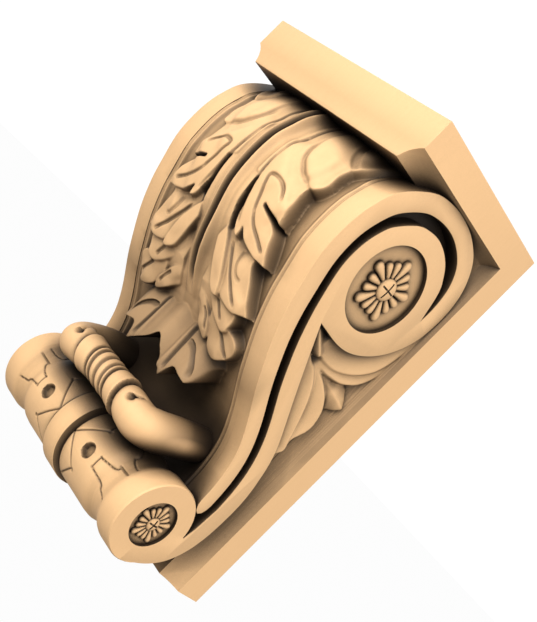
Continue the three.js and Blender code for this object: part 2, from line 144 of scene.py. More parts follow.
BAND_BACK = [
    (-108.4, 27.7), (-96.8, 11.1), (-82.3, -8.9), (-65.5, -31.2), (-57.8, -41.2), (-51, -51.3),
    (-46.3, -60.8), (-42.7, -71.4), (-39.6, -82.4), (-38, -93.2), (-37.7, -104.1), (-39.1, -124.2),
    (-43.9, -140.7), (-53.2, -153.8), (-67.2, -162.2), (-86.8, -167.5)]
BAND_TIP = [(-69.2, -109.4), (-66.6, -113.4), (-63.4, -114.9), (-60.6, -113), (-59.2, -109.4)]
BAND_WIDTHS = [
    (0, 14), (0.07, 15), (0.137, 14), (0.24, 12.2), (0.34, 13.6), (0.43, 15), (0.5, 13.7),
    (0.62, 14.2), (0.77, 12.4), (0.9, 11.5), (1, 11.2)]
GROOVE_WIDTHS = [
    (0, 12), (0.008, 14.2), (0.025, 17), (0.06, 20), (0.14, 24), (0.25, 21), (0.4, 23.6),
    (0.52, 20.7), (0.67, 21.2), (0.8, 19), (0.9, 18.2), (1, 18.1)]
GROOVE_END = [(-52.7, -115.1), (-53.6, -124.2), (-55.4, -133)]
ROLL_CENTRE = (-86.3, -136.6)


def smooth(points, steps=4, closed=False):
    """A curve through the points. A point given twice stays a sharp corner."""
    p = np.array(points, float)
    before = np.roll(p, 1, axis=0) if closed else np.vstack([p[:1], p[:-1]])
    after = np.roll(p, -1, axis=0) if closed else np.vstack([p[1:], p[-1:]])
    beyond = np.roll(p, -2, axis=0) if closed else np.vstack([p[2:], p[-1:], p[-1:]])
    t = np.linspace(0, 1, steps, endpoint=False)[None, :, None]
    a, b, c, d = (q[:, None, :] for q in (before, p, after, beyond))
    line = 0.5 * (2 * b + (c - a) * t + (2 * a - 5 * b + 4 * c - d) * t ** 2
                  + (3 * b - a - 3 * c + d) * t ** 3)
    line = line.reshape(-1, 2) if closed else np.vstack([line[:-1].reshape(-1, 2), p[-1:]])
    moved = np.linalg.norm(np.diff(line, axis=0, prepend=line[-1:] if closed else line[:1] - 1), axis=1)
    return line[moved > 1e-3]


def run(line):
    """How far along the line each of its points lies."""
    return np.concatenate([[0], np.cumsum(np.linalg.norm(np.diff(line, axis=0), axis=1))])


def evenly(line, step):
    """The same line with points at even steps."""
    along = run(line)
    places = np.linspace(0, along[-1], max(2, round(along[-1] / step) + 1))
    return np.stack([np.interp(places, along, line[:, k]) for k in (0, 1)], axis=1)


def eased(line, times):
    """The line with its small kinks eased out, its ends kept."""
    line = line.copy()
    for _ in range(times):
        line[1:-1] = (line[:-2] + line[1:-1] * 2 + line[2:]) / 4
    return line


def inward(line, widths):
    """The line moved towards its left by widths given at shares of its length."""
    along = run(line) / run(line)[-1]
    shares, sizes = zip(*widths)
    way = np.gradient(line, axis=0)
    way /= np.linalg.norm(way, axis=1)[:, None]
    moved = line + np.stack([-way[:, 1], way[:, 0]], axis=1) * np.interp(along, shares, sizes)[:, None]
    return eased(moved, 24)


whole_front = eased(evenly(smooth(VOLUTE_TOP + FRONT), 1.8), 10)
groove_outer = inward(whole_front, BAND_WIDTHS)
groove_inner = inward(whole_front, GROOVE_WIDTHS)
band_outline = np.vstack([whole_front, BAND_TIP, groove_outer[::-1]])
inner_outline = np.vstack([
    groove_inner[1:], GROOVE_END, [ROLL_CENTRE], eased(evenly(smooth(BAND_BACK), 2), 8)[::-1],
    eased(evenly(smooth(VOLUTE_BACK), 2), 8)[::-1][1:], whole_front[2:3]])
panel_front = eased(evenly(smooth(FRONT), 2), 10)
panel_outline = np.vstack([
    panel_front, FRONT_END, [(SEAT, FRONT_END[-1][1]), (SEAT, panel_front[0][1])]])
for side in (-1, 1):
    plate("sunk_panel", panel_outline, 0, side * RIM_SIDE, side * PANEL_SIDE)
    plate("raised_band", band_outline, 0, side * (RIM_SIDE + 0.01), side * SCROLL_SIDE, CRISP_EDGE)
    plate("inner_scroll", inner_outline, 0, side * (RIM_SIDE + 0.02), side * SCROLL_SIDE, CRISP_EDGE)

# Leaf: an acanthus leaf down the scroll's front, carved from the block: a stem of two ribs, lobes
# that lie over one another down each side, and a tip that hangs free of the hollow below it.
LEAF_TOP = -12.0
CELL = 0.58
# The ground beside the leaf, by distance from the middle: a dip, a bead and a fine groove by the rim
FIELD = -1.5
QUIRK = [
    (0, -3), (50, -2.8), (58, -2.3), (64, -1.6), (68.4, -0.9), (70, -0.2), (71, 0.7), (72.2, 1.1),
    (73.2, 0.7), (74, 0.1), (74.6, 0.5), (75.6, 1), (78, 1)]
FIELD_HALF = 77.4
leaf_line = smooth(FRONT + FRONT_END, 12)
leaf_run = run(leaf_line) + LEAF_TOP
way = np.gradient(leaf_line, axis=0)
way = eased(way / np.linalg.norm(way, axis=1)[:, None], 40)
leaf_out = np.stack([way[:, 1], -way[:, 0]], axis=1)
leaf_out /= np.linalg.norm(leaf_out, axis=1)[:, None]

across = np.linspace(-FIELD_HALF, FIELD_HALF, round(2 * FIELD_HALF / CELL) + 1)
down = np.concatenate([
    np.arange(LEAF_TOP, 18, 1.6), np.arange(18, 252, CELL), np.linspace(252, leaf_run[-1], 24)])
X, S = np.meshgrid(np.abs(across), down)
front_y, front_z, out_y, out_z = (
    np.interp(S, leaf_run, column) for column in (*leaf_line.T, *leaf_out.T))


def along_front(*stops):
    """A value that changes down the front, from stops of (distance down, value)."""
    return np.interp(S, *zip(*stops))


def step(depth, width):
    """0 outside an edge and 1 inside it, with an even rise across the width."""
    t = np.clip(depth / width + 0.5, 0, 1)
    return t * t * (3 - 2 * t)


def off_line(line, x, y):
    """The distance of each place from a line, and the share of the line where it is nearest."""
    best = np.full(x.shape, np.inf)
    share = np.zeros(x.shape)
    along = run(line)
    for (ax, ay), (bx, by), start, end in zip(line[:-1], line[1:], along[:-1], along[1:]):
        ex, ey = bx - ax, by - ay
        t = np.clip(((x - ax) * ex + (y - ay) * ey) / (ex * ex + ey * ey + 1e-9), 0, 1)
        gap = (x - ax - t * ex) ** 2 + (y - ay - t * ey) ** 2
        nearer = gap < best
        best = np.where(nearer, gap, best)
        share = np.where(nearer, start + t * (end - start), share)
    return np.sqrt(best), share / along[-1]


def depth_in(outline, x, y):
    """How deep each place lies inside a closed outline, negative outside."""
    ring = np.vstack([outline, outline[:1]])
    inside = np.zeros(x.shape, bool)
    for (ax, ay), (bx, by) in zip(ring[:-1], ring[1:]):
        if ay != by:
            inside ^= ((ay > y) != (by > y)) & (x < (bx - ax) * (y - ay) / (by - ay) + ax)
    return np.where(inside, 1, -1) * off_line(ring, x, y)[0]


def blend_heights(samples, x, y):
    """A soft surface through heights given at places (x, y, height)."""
    total = np.zeros(x.shape)
    weights = np.zeros(x.shape)
    for px, py, height in samples:
        weight = 1 / ((x - px) ** 2 + (y - py) ** 2 + 24) ** 2.2
        total += weight * height
        weights += weight
    return total / weights


def vein(surface, points, depth, width, x, y):
    """A cut along a line, deepest in its middle and fading out at its ends."""
    gap, share = off_line(smooth(points, 5), x, y)
    fade = np.clip(np.minimum(share, 1 - share) * 9, 0, 1) ** 0.5
    return surface - depth * fade * np.exp(-(gap / width) ** 4)


def lay(surface, outline, heights, veins=(), edge=1.7, roundness=0.6, x=X, y=S):
    """A lobe laid on the surface: it stands where it is higher, with a soft edge and its veins."""
    inside = depth_in(smooth(outline, 5, closed=True), x, y)
    top = blend_heights(heights, x, y) if isinstance(heights, list) else heights
    top = top - roundness * (1 - np.clip(inside / 2.2, 0, 1)) ** 2
    for line, depth, width in veins:
        top = vein(top, line, depth, width, x, y)
    raised = surface + (top - surface) * step(inside, edge)
    return np.where(inside > -edge, np.maximum(surface, raised), surface)


relief = FIELD + np.interp(X, *zip(*QUIRK))

# The hollow below the stem, which carries the roots of the lower lobes
hollow_depth = along_front((120, 2), (150, 3), (165, 5.5), (175, 3.8), (185, 1.6), (193, 1),
                           (200, 1.5), (210, 2))
hollow_outline = [
    (-9, 122), (18, 122), (30, 138), (40, 152), (49, 168), (54, 184), (56, 200), (45, 206), (-9, 208)]
relief = lay(relief, hollow_outline, hollow_depth, edge=5, roundness=0)

# The hanging tip: a sheet in an upright plane, whose outline is drawn in that plane. It bows out
# along its middle and curls back at its corners.
SHEET_PLANE = -112.0
SHEET_TOP = 150
sheet_y = (SHEET_PLANE - 2.6 * np.clip(1 - X / 22, 0, 1) ** 1.5 + 7 * (np.clip(X - 36, 0, 30) / 13) ** 2
           + 1.3 * np.exp(-((X - 12) / 6) ** 2))
sheet_out = np.clip((sheet_y - front_y) / out_y, -4, 60)
sheet_z = front_z + sheet_out * out_z
SHEET_OUTLINE = [
    (-6, -12), (30, -14), (52, -22), (56, -32), (53, -38), (50.7, -43), (49, -53), (47.5, -59),
    (45, -63.6), (45, -63.6), (38, -62), (31, -60.6), (28, -64.5), (26, -70), (24.4, -73.2),
    (24.4, -73.2), (20, -69.5), (15, -65), (6, -58), (0, -52.5), (-6, -56)]
SHEET_VEINS = [
    ([(20.4, -27), (21, -40), (21.6, -52), (22.6, -66)], 2.4, 1.3),
    ([(23, -39.5), (30, -41), (36, -45.5), (41.5, -52), (43.3, -58)], 2.8, 1.5)]
fold = 1.6 * np.exp(-((X - 17.5) / 2.2) ** 2) * step(-28 - sheet_z, 10)
sheet = lay(relief, SHEET_OUTLINE, sheet_out + fold, SHEET_VEINS, edge=1.8, y=sheet_z)
relief = np.where(S > SHEET_TOP, sheet, relief)

LOBES = [
    # lowest lobe and the finger beside it
    ([(33, 176), (45, 178), (58, 180), (64.5, 182.5), (68, 187), (67, 193), (63, 198.5),
      (57, 202.5), (51.5, 203.8), (45, 202), (38, 197), (32, 185)],
     [(36, 181, 4.5), (47, 183, 5.4), (60.7, 197.6, 5.6), (66.3, 195.6, 3.6), (52.2, 201.8, 9),
      (60, 184, 4.4)],
     [([(46, 181.5), (53, 189.5), (61.5, 198.3)], 1.7, 1.2)]),
    ([(9, 171), (17, 171.5), (25, 176.5), (31, 183), (36, 190), (37.4, 197), (35, 199.3),
      (31, 198), (25, 194.5), (18, 189), (11, 183)],
     [(16.6, 175.9, 4.6), (36.4, 197, 7.2), (12, 184, 2.6), (30, 195, 6.8), (25, 180, 5.2),
      (8, 176, 3)],
     [([(24, 180.5), (29, 185), (33, 192.5)], 1.5, 1.1)]),
    # fourth lobe
    ([(17, 147), (30, 154), (40, 158), (50, 163), (58.4, 167), (59, 172), (57.2, 178),
      (54.9, 182.8), (50, 184.6), (45, 183.6), (36, 178.8), (27, 171.5), (20, 163)],
     [(30, 160, 5.6), (38, 167, 6.2), (45, 177.6, 6.6), (53.7, 183.6, 7.4), (58, 170, 5.6),
      (20, 152, 4.6), (24, 168, 5)],
     [([(33.5, 161.5), (39.5, 170), (46, 178.5)], 1.6, 1.2)]),
    # third lobe, with a swelling at its root, and the narrow blade inside it
    ([(24, 120), (45, 120), (56.5, 126), (54.8, 135), (59.5, 145), (65.1, 157), (68.9, 165.5),
      (68.9, 165.5), (62, 167.2), (54, 168.4), (46, 167), (38, 164), (32, 155), (26, 144), (20, 132)],
     [(26.7, 134.6, 6.6), (33, 150, 6.8), (40.3, 150, 7.6), (55, 163.1, 8), (68.9, 165, 4.6),
      (54.4, 135, 6), (40, 125, 4.5), (60, 150, 5.6), (46, 163, 8.4)],
     [([(27.5, 132.5), (40.3, 149.5), (55.8, 164)], 1.7, 1.2),
      ([(40.8, 132), (41.6, 140), (46, 147.4), (51, 149)], 1.1, 1.2)]),
    ([(18.5, 126), (27.4, 138), (33.6, 150), (37, 160), (38.3, 166.6), (38.3, 166.6), (34, 167),
      (30, 165.6), (25, 162), (20.5, 154), (16.5, 145), (12.6, 135.5), (12.6, 135.5), (15, 129)],
     [(13.7, 137, 8.8), (20, 128, 9), (30, 150, 9.6), (38, 166, 10), (24, 155, 8.6)], []),
]
for outline, heights, veins in LOBES:
    relief = lay(relief, outline, heights, veins)
SWELLING = (46.5, 139.5)
SWELLING_RISE = 1.7
swelling = np.exp(-((X - SWELLING[0]) / 5) ** 2 - ((S - SWELLING[1]) / 7.5) ** 2)
relief = relief + SWELLING_RISE * swelling * (relief > 2)

# Blade: the broad upper part of the leaf, which spreads into the big second lobe
BLADE_OUTLINE = [
    (-9, -20), (36, -20), (36, 30), (36, 52), (38, 60), (43, 67), (49, 73), (53.4, 78.2),
    (53.4, 78.2), (53.2, 86), (55.6, 97), (56.4, 107.6), (56.4, 107.6), (48, 104.6), (39.5, 102.6),
    (39.5, 102.6), (46.8, 105.2), (53.4, 109.4), (57.8, 115), (62, 125), (64.6, 133), (64.6, 133),
    (57, 132.6), (50, 131.2), (41, 128.6), (33, 122), (33, 122), (32.6, 125.8), (31.9, 129),
    (31.9, 129), (27, 126.4), (23, 119), (20.6, 109), (19.5, 102), (18.5, 94), (18.5, 94),
    (13, 91), (-9, 91)]
BLADE_HEIGHTS = [
    (13, 20, 7.4), (20, 20, 7.2), (28, 20, 8.8), (13, 50, 8.6), (21, 50, 8), (29, 50, 9.6),
    (13, 70, 12), (13, 88, 12.2), (28, 62, 10.2), (36, 69, 9.6), (22, 80, 12.4), (41, 73, 8),
    (54, 79, 5), (27.7, 86.3, 12.6), (45.5, 95, 10.4), (54, 88, 6), (34.8, 110.3, 10.6),
    (56, 107, 6.2), (39.7, 103, 10.6), (56.7, 125.6, 8.4), (64, 132, 6.4), (32, 122, 10.2),
    (31.9, 128, 11.4), (23, 112, 11), (26.7, 120, 10.8), (48, 129, 8.8)]
BLADE_VEINS = [
    ([(15, 24), (17.2, 46), (15.6, 70), (16.6, 84), (18.9, 97), (22.4, 110), (26.9, 121)], 1.5, 1.0),
    ([(48, 96), (42.5, 90), (36, 86.2), (28.6, 85.8), (25.6, 87.4), (27, 92), (30.4, 101),
      (35, 110.6)], 1.5, 1.1),
    ([(34.4, 109), (39.5, 114.8), (47, 120), (57.6, 126.2)], 1.5, 1.1)]
relief = lay(relief, BLADE_OUTLINE, BLADE_HEIGHTS, BLADE_VEINS)

# First lobe, which comes out from under the cap and folds over the blade's shoulder
FIRST_OUTLINE = [
    (29, -20), (70, -20), (69.6, 25), (69, 36), (66.4, 45), (61, 52.5), (61, 52.5), (60, 60),
    (61.4, 69), (59, 76), (54.6, 79.4), (48, 77), (41, 74), (34.4, 69.6), (29.6, 62), (27.8, 50),
    (28, 30)]
FOLD_LINE = [(27, 44), (27.6, 54), (29.6, 62), (34.6, 69), (41, 73.4), (47, 76)]
FIRST_HEIGHTS = [
    (29, 30, 10), (29, 55, 10.6), (33, 65, 10.8), (41, 72, 9.4), (54, 78, 6), (69, 30, 3.4),
    (68, 44, 3.6), (61, 52, 4), (59, 60, 4.4), (60, 70, 4), (50, 30, 8.2), (45, 60, 9.2), (50, 5, 8)]
FIRST_VEINS = [([(61.5, 51), (52, 44), (46, 30), (43, 5)], 1.2, 2.4)]
relief = lay(relief, FIRST_OUTLINE, FIRST_HEIGHTS, FIRST_VEINS, roundness=0.8)
FOLD_DEPTH = 1.4
FOLD_WIDTH = 1.7
fold_gap, fold_share = off_line(smooth(FOLD_LINE, 5), X, S)
relief = relief - FOLD_DEPTH * np.exp(-(fold_gap / FOLD_WIDTH) ** 2) * np.clip(fold_share * 3, 0, 1)

# Stem: two round ribs with a deep cut between them
STEM_HALF = along_front((-12, 16), (60, 16), (92, 17.4), (110, 17), (128, 19), (134, 15),
                        (150, 15), (175, 18), (190, 15))
crest = along_front((-12, 12), (20, 13.5), (40, 14.7), (70, 16), (95, 14.8), (110, 13.4),
                    (130, 11.8), (150, 10.2), (163, 7.6), (175, 4.2), (185, 1.8), (193, 1))
flank = along_front((-12, 6.4), (30, 7.4), (50, 8.4), (70, 11.6), (95, 11.4), (110, 11),
                    (122, 9.6), (134, 6.4), (150, 4), (165, 3.2), (175, 3), (185, 1.5), (193, 1))
cut = along_front((-12, 7), (20, 8), (150, 8), (165, 5), (175, 1.6), (184, 0), (193, 0))
RIB = 3.8
RIB_FOOT = 13
sweep = np.clip((X - RIB) / (RIB_FOOT - RIB), 0, 1)
stem = flank + (crest - flank) * (1 - sweep) ** 1.7 - 0.9 * np.sin(np.pi * np.clip(sweep, 0, 1)) ** 2
stem = np.where(X < RIB, crest - cut * np.clip(1 - X / RIB, 0, 1) ** 1.25, stem)
stem_inside = STEM_HALF - X
stem = stem - 1.2 * (1 - np.clip(stem_inside / 2.5, 0, 1)) ** 2
stem_raised = relief + (stem - relief) * step(stem_inside, 1.6)
over_stem = np.where(X < RIB_FOOT, stem, np.maximum(relief, stem_raised))
STEM_FADE = 190
STEM_END = 197
fade_out = step(STEM_FADE - S, 14)
relief = relief + (over_stem - relief) * np.where(X < RIB_FOOT, fade_out, 1) * (S < STEM_END)


def blur(heights):
    """Takes the sharpness of the grid off a height field, in place."""
    heights[:, 1:-1] = (heights[:, :-2] + heights[:, 1:-1] * 2 + heights[:, 2:]) / 4
    heights[1:-1] = (heights[:-2] + heights[1:-1] * 2 + heights[2:]) / 4


blur(relief)


def grid(name, columns, rows):
    """A flat grid of so many points each way, whose points are then set in place."""
    deselect()
    bpy.ops.mesh.primitive_grid_add(x_subdivisions=columns - 1, y_subdivisions=rows - 1, size=1)
    piece = bpy.context.object
    piece.name = name
    return piece


def carved_bed(name, places, axis, seat):
    """A closed block under a carved surface: its border is drawn back to a seat along one axis."""
    bed = grid(name, places.shape[1], places.shape[0])
    bed.data.vertices.foreach_set("co", (places * MM).ravel())
    bpy.ops.object.mode_set(mode="EDIT")
    bpy.ops.mesh.select_all(action="DESELECT")
    bpy.ops.mesh.select_mode(type="EDGE")
    bpy.ops.mesh.select_non_manifold()
    drawn = [0.0, 0.0, 0.0]
    drawn[axis] = 0.02
    bpy.ops.mesh.extrude_edges_move(TRANSFORM_OT_translate={"value": drawn})
    bpy.ops.object.mode_set(mode="OBJECT")
    for vertex in bed.data.vertices:
        if vertex.select:
            vertex.co[axis] = seat * MM
    bpy.ops.object.mode_set(mode="EDIT")
    bpy.ops.mesh.edge_face_add()
    bpy.ops.mesh.select_all(action="SELECT")
    bpy.ops.mesh.normals_make_consistent(inside=False)
    return bed


leaf_x = np.broadcast_to(across, X.shape)
leaf_places = np.stack([leaf_x, front_y + relief * out_y, front_z + relief * out_z], axis=-1)
leaf = carved_bed("leaf_front", leaf_places, 1, SEAT)
bpy.ops.mesh.quads_convert_to_tris(quad_method="SHORTEST_DIAGONAL", ngon_method="BEAUTY")
deselect()
carved.append(leaf)

# Foot roll: a turned bolster across the scroll's foot, with a flange at each end, a belt round its
# middle, and a strap pattern cut into it on each side of the belt.
ROLL_RADIUS = 31.0
ROLL_PROFILE = [
    (0, 34.2), (8.4, 34.2), (9.2, 33.7), (9.7, 29.5), (10.4, 28.2), (11.8, 28.2), (12.4, 30.3),
    (13.6, 31), (48, 31), (53, 30.6), (56.5, 29.4), (59.5, 28), (63, 27.5), (67, 27.7), (71, 28.9),
    (74, 30.3), (77, 31), (92.2, 31), (SCROLL_SIDE, 30.2)]
ROLL_CUTS = [
    [(26, 12), (31.2, 29), (31.2, 29), (12.8, 48), (12.8, 48), (30.6, 66.5), (30.6, 66.5), (15, 82)],
    [(51, 13), (59.6, 19), (60, 24), (66, 27), (73, 28.5)],
    [(73, 36), (62, 36), (62, 36), (62, 39), (58, 41.4), (48, 43.6), (48, 43.6), (48, 52),
     (48, 52), (56, 53.4), (62, 55.6), (64, 58.5), (72, 60.5)]]
ROLL_CUT_DEPTH = 1.0
ROLL_CUT_WIDTH = 0.55
ROLL_HOLE = (35, 48, 5.2)
ROLL_HOLE_DEPTH = 3.6
ROLL_HOLE_EDGE = 1.5


def tube(name, rings):
    """A closed skin round a row of rings, each with as many points."""
    count, size = rings.shape[:2]
    piece = grid(name, size + 1, count)
    closed = np.concatenate([rings, rings[:, :1]], axis=1) * MM
    piece.data.vertices.foreach_set("co", closed.ravel())
    bpy.ops.object.mode_set(mode="EDIT")
    bpy.ops.mesh.select_all(action="SELECT")
    bpy.ops.mesh.remove_doubles(threshold=1e-6)
    bpy.ops.mesh.select_all(action="DESELECT")
    bpy.ops.mesh.select_mode(type="EDGE")
    bpy.ops.mesh.select_non_manifold()
    bpy.ops.mesh.edge_face_add()
    bpy.ops.mesh.select_all(action="SELECT")
    bpy.ops.mesh.normals_make_consistent(inside=False)
    deselect()
    carved.append(piece)
    return piece


turn = np.radians(np.concatenate([np.arange(-12, 176, 1.3), np.arange(176, 348, 8)]))
roll_x = np.concatenate([np.arange(-SCROLL_SIDE, SCROLL_SIDE, 0.72), [SCROLL_SIDE]])
roll_x = np.sort(np.concatenate([roll_x, [-9.45, 9.45, -12.1, 12.1]]))
T, RX = np.meshgrid(turn, roll_x)
radius = np.interp(np.abs(RX), *zip(*ROLL_PROFILE))
arc = T * ROLL_RADIUS
for cut_line in ROLL_CUTS:
    gap, _ = off_line(smooth(cut_line, 3), np.abs(RX), arc)
    radius = radius - ROLL_CUT_DEPTH * np.exp(-(gap / ROLL_CUT_WIDTH) ** 2)
hole_x, hole_arc, hole_radius = ROLL_HOLE
hole = hole_radius - np.hypot(np.abs(RX) - hole_x, arc - hole_arc)
radius = radius - ROLL_HOLE_DEPTH * step(hole, ROLL_HOLE_EDGE)
roll_rings = np.stack([
    RX, ROLL_CENTRE[0] - radius * np.sin(T), ROLL_CENTRE[1] + radius * np.cos(T)], axis=-1)
tube("foot_roll", roll_rings)

# Yoke: a round bar below the leaf's tip. Its arms swell out of the field on each side and turn a
# bend into the bar, which is cut with bands and rings in its middle.
YOKE_PATH = [
    (57, -50, -80, 10.5), (57.5, -62, -82.5, 11.5), (58, -76, -86, 12.6), (57.8, -92, -90.5, 13.5),
    (55.5, -107, -95.6, 13.8), (50, -116, -98, 13.5), (42, -119.4, -97.2, 13.2),
    (26, -119.6, -95.8, 13), (0, -119.4, -95.4, 12.7)]
YOKE_PROFILE = [
    (0, -2.4), (0.9, -1.8), (2.2, -0.4), (4.3, 0.1), (6.4, -0.4), (7.7, -1.8), (8.6, -2.4),
    (9.4, -1.8), (10.2, -0.5), (11.1, -0.1), (12, -0.5), (12.8, -2), (13.6, -3), (14.4, -2),
    (15.6, -0.5), (18, 0.1), (23, 0.3), (26.5, 1), (27.7, 0.9), (28.4, -0.6), (29, -3.4),
    (29.8, -3.4), (31, -1.8), (33, -0.8), (37, 0), (44, 0.2), (400, 0)]
SLANT = 3.4
EYE = (41.5, -130.8, -90)
EYE_RADIUS = 2.6
EYE_DEPTH = 5
EYE_TAIL = [(41.5, -130.6, -90), (43.8, -127.4, -86.6), (46.5, -121.5, -84.6), (49, -115, -84.4)]
TAIL_WIDTH = 1.3
TAIL_DEPTH = 3.2
half_path = np.array(YOKE_PATH)
yoke_path = np.vstack([half_path, half_path[-2::-1] * [-1, 1, 1, 1]])
steps = np.linspace(0, 1, 14, endpoint=False)[:, None]
path = []
for i in range(len(yoke_path) - 1):
    a, b, c, d = (yoke_path[min(max(i + k, 0), len(yoke_path) - 1)] for k in (-1, 0, 1, 2))
    path.append(0.5 * (2 * b + (c - a) * steps + (2 * a - 5 * b + 4 * c - d) * steps ** 2
                       + (3 * b - a - 3 * c + d) * steps ** 3))
path = np.vstack(path + [yoke_path[-1:]])
length = run(path[:, :3])
stations = np.concatenate([
    np.arange(0, length[-1] / 2 - 30, 1.3), np.arange(length[-1] / 2 - 30, length[-1] / 2 + 30, 0.55),
    np.arange(length[-1] / 2 + 30, length[-1], 1.3)])
path = np.stack([np.interp(stations, length, path[:, k]) for k in range(4)], axis=1)
yoke_way = np.gradient(path[:, :3], axis=0)
yoke_way /= np.linalg.norm(yoke_way, axis=1)[:, None]
front_side = np.cross(yoke_way, [0, 0, 1])
front_side /= np.linalg.norm(front_side, axis=1)[:, None]
if front_side[len(path) // 2][1] > 0:
    front_side = -front_side
upper_side = np.cross(front_side, yoke_way)
upper_side *= np.sign(upper_side[:, 2:3])
sides = np.radians(np.arange(0, 360, 4.0))
A, _ = np.meshgrid(sides, stations)
bar_x = path[:, 0:1] + SLANT * np.sin(A)
radius = np.broadcast_to(path[:, 3:4], A.shape).copy()
radius = radius + np.interp(np.abs(bar_x), *zip(*YOKE_PROFILE))
yoke_rings = (path[:, None, :3] + radius[..., None] * (
    np.cos(A)[..., None] * front_side[:, None] + np.sin(A)[..., None] * upper_side[:, None]))
near_side = np.abs(yoke_rings[..., :1]) * [1, 0, 0] + yoke_rings * [0, 1, 1]
sink = EYE_DEPTH * np.exp(-(np.linalg.norm(near_side - EYE, axis=-1) / EYE_RADIUS) ** 4)
for a, b in zip(EYE_TAIL[:-1], EYE_TAIL[1:]):
    a, b = np.array(a), np.array(b)
    share = np.clip((near_side - a) @ (b - a) / ((b - a) @ (b - a)), 0, 1)[..., None]
    gap = np.linalg.norm(near_side - a - share * (b - a), axis=-1)
    sink = np.maximum(sink, TAIL_DEPTH * np.exp(-(gap / TAIL_WIDTH) ** 2))
yoke_rings = yoke_rings + sink[..., None] * np.array([0, 1, 0])
tube("yoke", yoke_rings)

# Rosettes: a flower of fifteen round-ended petals with a domed button, set in a round recess in
# each end of the two scrolls: a large one in the volute and a small one in the roll.
VOLUTE_CENTRE = (-87.3, 72.7)
RECESS_DEPTH = 3.3
SMALL_RECESS_DEPTH = 2.6
PETALS = 15
SHORT_PETAL = 0.83
BUTTON_ROOT = 1.5
BUTTON_DOME = [(1, 0.85), (0.93, 1.1), (0.75, 1.3), (0.45, 1.45), (0.15, 1.5)]
CROSS_WIDTH = 1.3
CROSS_DEPTH = 2.2
flowers = []
recesses = []
crosses = []


def lens(name, spine, halves, base, heights, side):
    """A low rounded ridge on a scroll's side: a line in (y, z), half widths, heights off the base."""
    way = np.gradient(spine, axis=0)
    way /= np.linalg.norm(way, axis=1)[:, None]
    left = np.stack([-way[:, 1], way[:, 0]], axis=1)
    shifts = np.array([-1, -0.97, -0.8, -0.45, 0, 0.45, 0.8, 0.97, 1])
    lifts = np.array([-1, 0.3, 0.72, 0.94, 1, 0.94, 0.72, 0.3, -1])
    flat = spine[:, None] + left[:, None] * (shifts * halves[:, None])[..., None]
    low = np.minimum(lifts, 0) * 2.0
    out = base + low + np.maximum(lifts, 0) * np.asarray(heights)[:, None]
    return tube(name, np.concatenate([(side * out)[..., None], flat], axis=-1))


def rosette(centre, recess, reach, button, floor, rise, side):
    """A flower in a round recess, from the radii of recess, petals and button, and the petals' rise."""
    deselect()
    bpy.ops.mesh.primitive_cylinder_add(
        vertices=96, radius=recess * MM, depth=20 * MM, rotation=(0, math.pi / 2, 0),
        location=(side * (floor + 10) * MM, centre[0] * MM, centre[1] * MM))
    bpy.ops.object.transform_apply(location=True, rotation=True, scale=True)
    recesses.append(bpy.context.object)
    for k in range(PETALS):
        angle = 2 * math.pi * k / PETALS
        ray = np.array([math.sin(angle), math.cos(angle)])
        tip = reach if k % 3 == 0 else reach * SHORT_PETAL
        t = np.array([0, 0.25, 0.5, 0.7, 0.84, 0.93, 0.98, 1.0])
        from_centre = button * 0.8 + (tip - button * 0.8) * t
        wide = from_centre * math.tan(math.pi / PETALS) * 0.97
        end = np.sqrt(np.clip(1 - ((t - 0.7) / 0.305).clip(0) ** 2, 0.01, 1))
        spine = np.array(centre) + ray * from_centre[:, None]
        flowers.append(lens("petal", spine, wide * end, floor, rise * np.array(
            [0.8, 0.9, 1, 1, 0.95, 0.85, 0.7, 0.5]), side))
    rings = []
    a = np.linspace(0, 2 * np.pi, 32, endpoint=False)
    for share, height in [(1, -BUTTON_ROOT)] + [(share, rise * lift) for share, lift in BUTTON_DOME]:
        rings.append(np.stack([
            np.full(len(a), side * (floor + height)), centre[0] + np.sin(a) * button * share,
            centre[1] + np.cos(a) * button * share], axis=-1))
    flowers.append(tube("button", np.array(rings)))
    for k in (0, 1):
        size = [CROSS_DEPTH, CROSS_WIDTH, CROSS_WIDTH]
        size[1 + k] = button * 1.5
        deselect()
        bpy.ops.mesh.primitive_cube_add(
            size=1, location=(side * (floor + rise * 1.5) * MM, centre[0] * MM, centre[1] * MM),
            scale=[edge * MM for edge in size])
        bpy.ops.object.transform_apply(location=True, rotation=True, scale=True)
        crosses.append(bpy.context.object)


for side in (-1, 1):
    rosette(VOLUTE_CENTRE, recess=32.0, reach=23.5, button=8.2, floor=SCROLL_SIDE - RECESS_DEPTH,
            rise=3.2, side=side)
    rosette(ROLL_CENTRE, recess=17.2, reach=15.0, button=5.0, floor=SCROLL_SIDE - SMALL_RECESS_DEPTH,
            rise=2.2, side=side)

